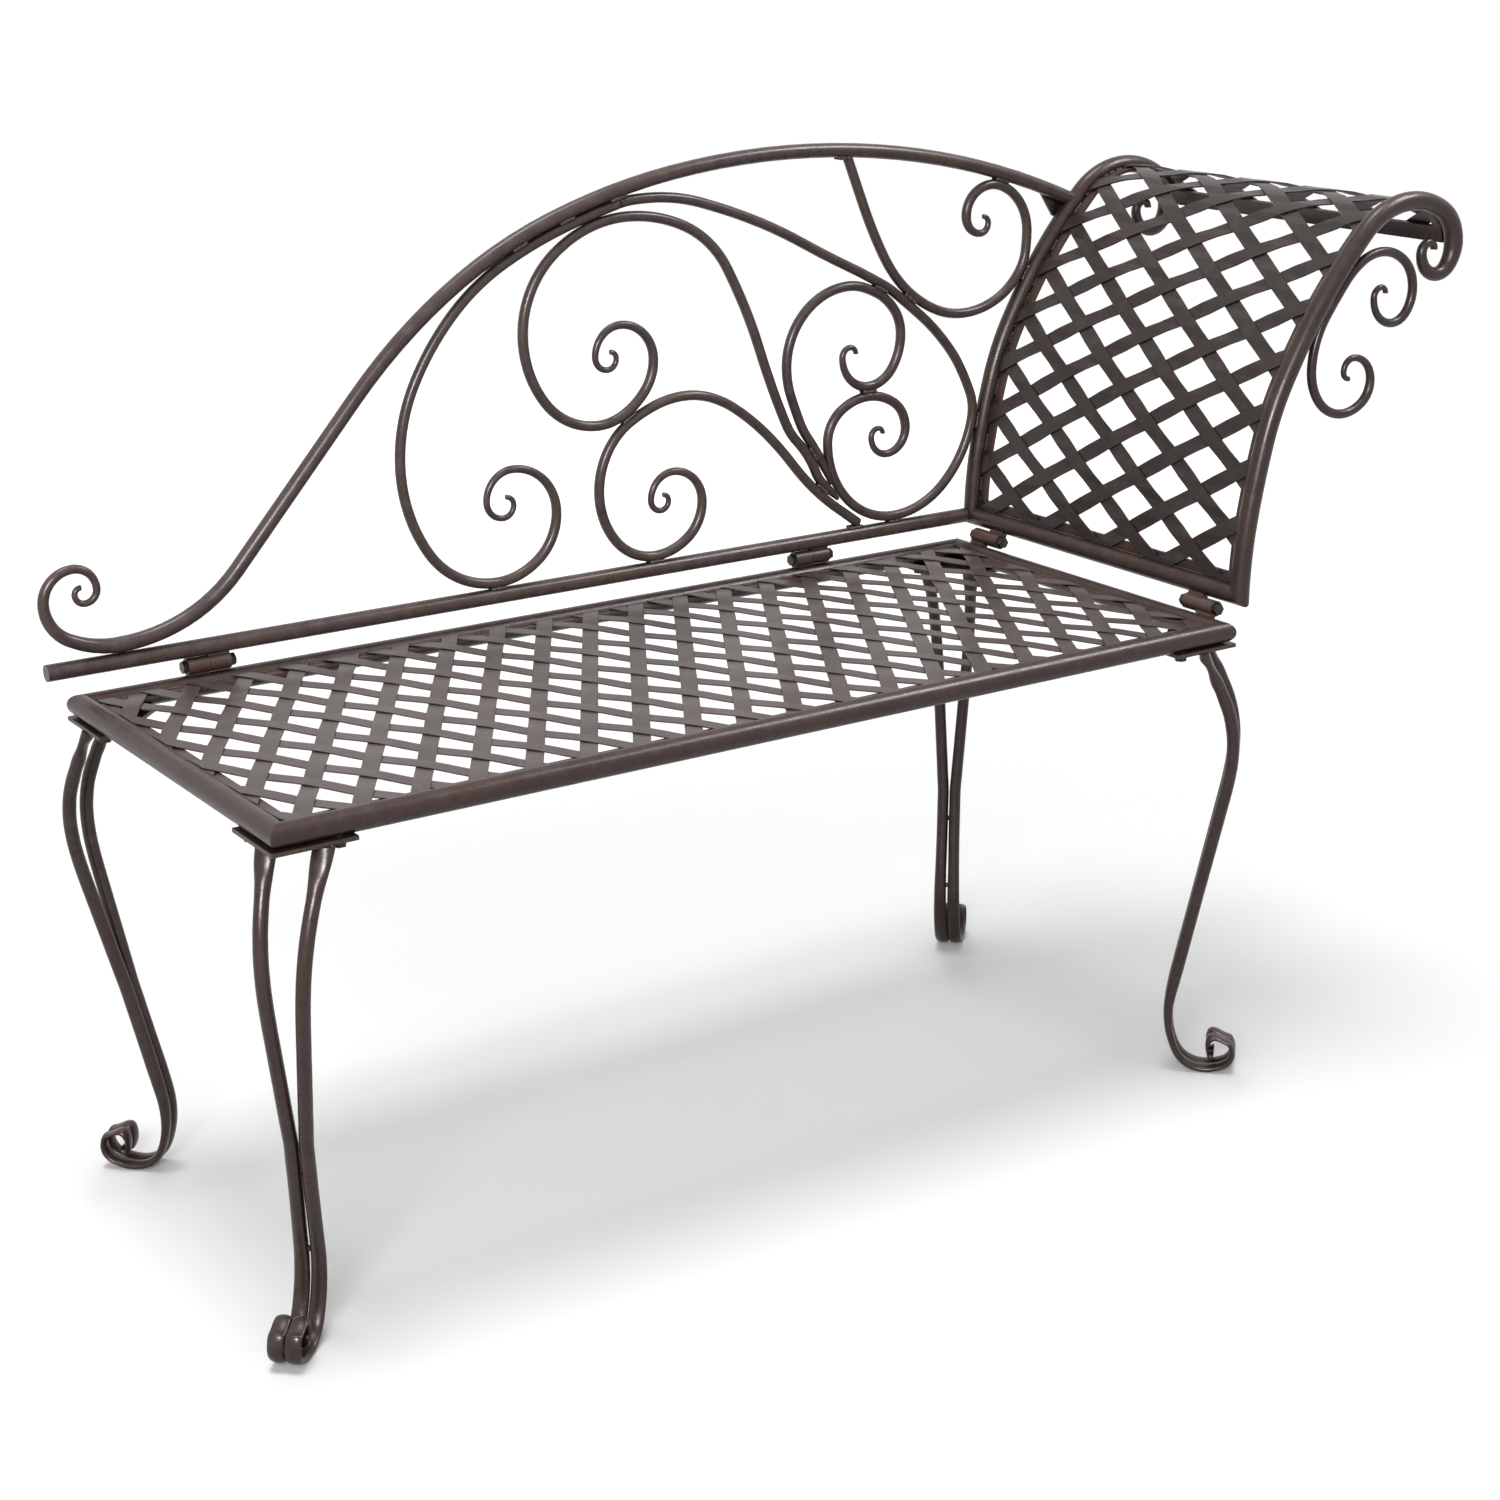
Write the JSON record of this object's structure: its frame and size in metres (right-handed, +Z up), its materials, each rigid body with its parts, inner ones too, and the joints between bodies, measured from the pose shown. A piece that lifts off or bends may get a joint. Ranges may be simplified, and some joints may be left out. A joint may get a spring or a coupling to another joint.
{
  "type": "garden chaise longue",
  "caption": "Metal garden chaise longue with a woven-strip seat, scrolled backrest along one side, rolled woven headrest at one end and scrolled rod legs.",
  "frame": {"origin": "middle of the bounding box, on the floor under the feet", "axes": "+X along the seat towards the headrest, +Y from the front to the backrest, +Z up"},
  "size_m": [1.2772, 0.464, 0.8712],
  "materials": {
    "frame": "satin antique brown",
    "strips": "satin antique brown",
    "fasteners": "satin dark brown"
  },
  "bodies": {
    "root": {"back_arch": "frame", "back_bottom_rail": "frame", "back_knuckle_left": "frame", "back_knuckle_right": "frame", "back_left_scroll": "frame", "back_long_scroll": "frame", "back_lower_scroll": "frame", "back_middle_scroll": "frame", "back_right_scroll": "frame", "back_tie_plate": "frame", "back_upper_scroll": "frame", "head_bottom_border": "frame", "head_bottom_rail": "frame", "head_front_border": "frame", "head_front_bracket": "frame", "head_front_rail": "frame", "head_knuckle_front": "frame", "head_knuckle_rear": "frame", "head_rear_border": "frame", "head_rear_rail": "frame", "head_strips_falling": "strips", "head_strips_rising": "strips", "head_top_bar": "frame", "knuckle_bolts": "fasteners", "knuckle_nuts": "fasteners", "leg_bolts": "fasteners", "leg_pegs": "frame", "leg_plate_front_left": "frame", "leg_plate_front_right": "frame", "leg_plate_rear_left": "frame", "leg_plate_rear_right": "frame", "leg_rivet_nuts": "fasteners", "leg_rod_front_left_a": "frame", "leg_rod_front_left_b": "frame", "leg_rod_front_right_a": "frame", "leg_rod_front_right_b": "frame", "leg_rod_rear_left_a": "frame", "leg_rod_rear_left_b": "frame", "leg_rod_rear_right_a": "frame", "leg_rod_rear_right_b": "frame", "leg_washers": "fasteners", "seat_back_knuckle_left": "frame", "seat_back_knuckle_right": "frame", "seat_front_border": "frame", "seat_front_rail": "frame", "seat_head_knuckle_front": "frame", "seat_head_knuckle_rear": "frame", "seat_left_border": "frame", "seat_left_rail": "frame", "seat_rear_border": "frame", "seat_rear_rail": "frame", "seat_right_border": "frame", "seat_right_rail": "frame", "seat_strips_falling": "strips", "seat_strips_rising": "strips", "tie_bolt": "fasteners", "tie_rivet_nut": "fasteners"}
  },
  "joints": []
}
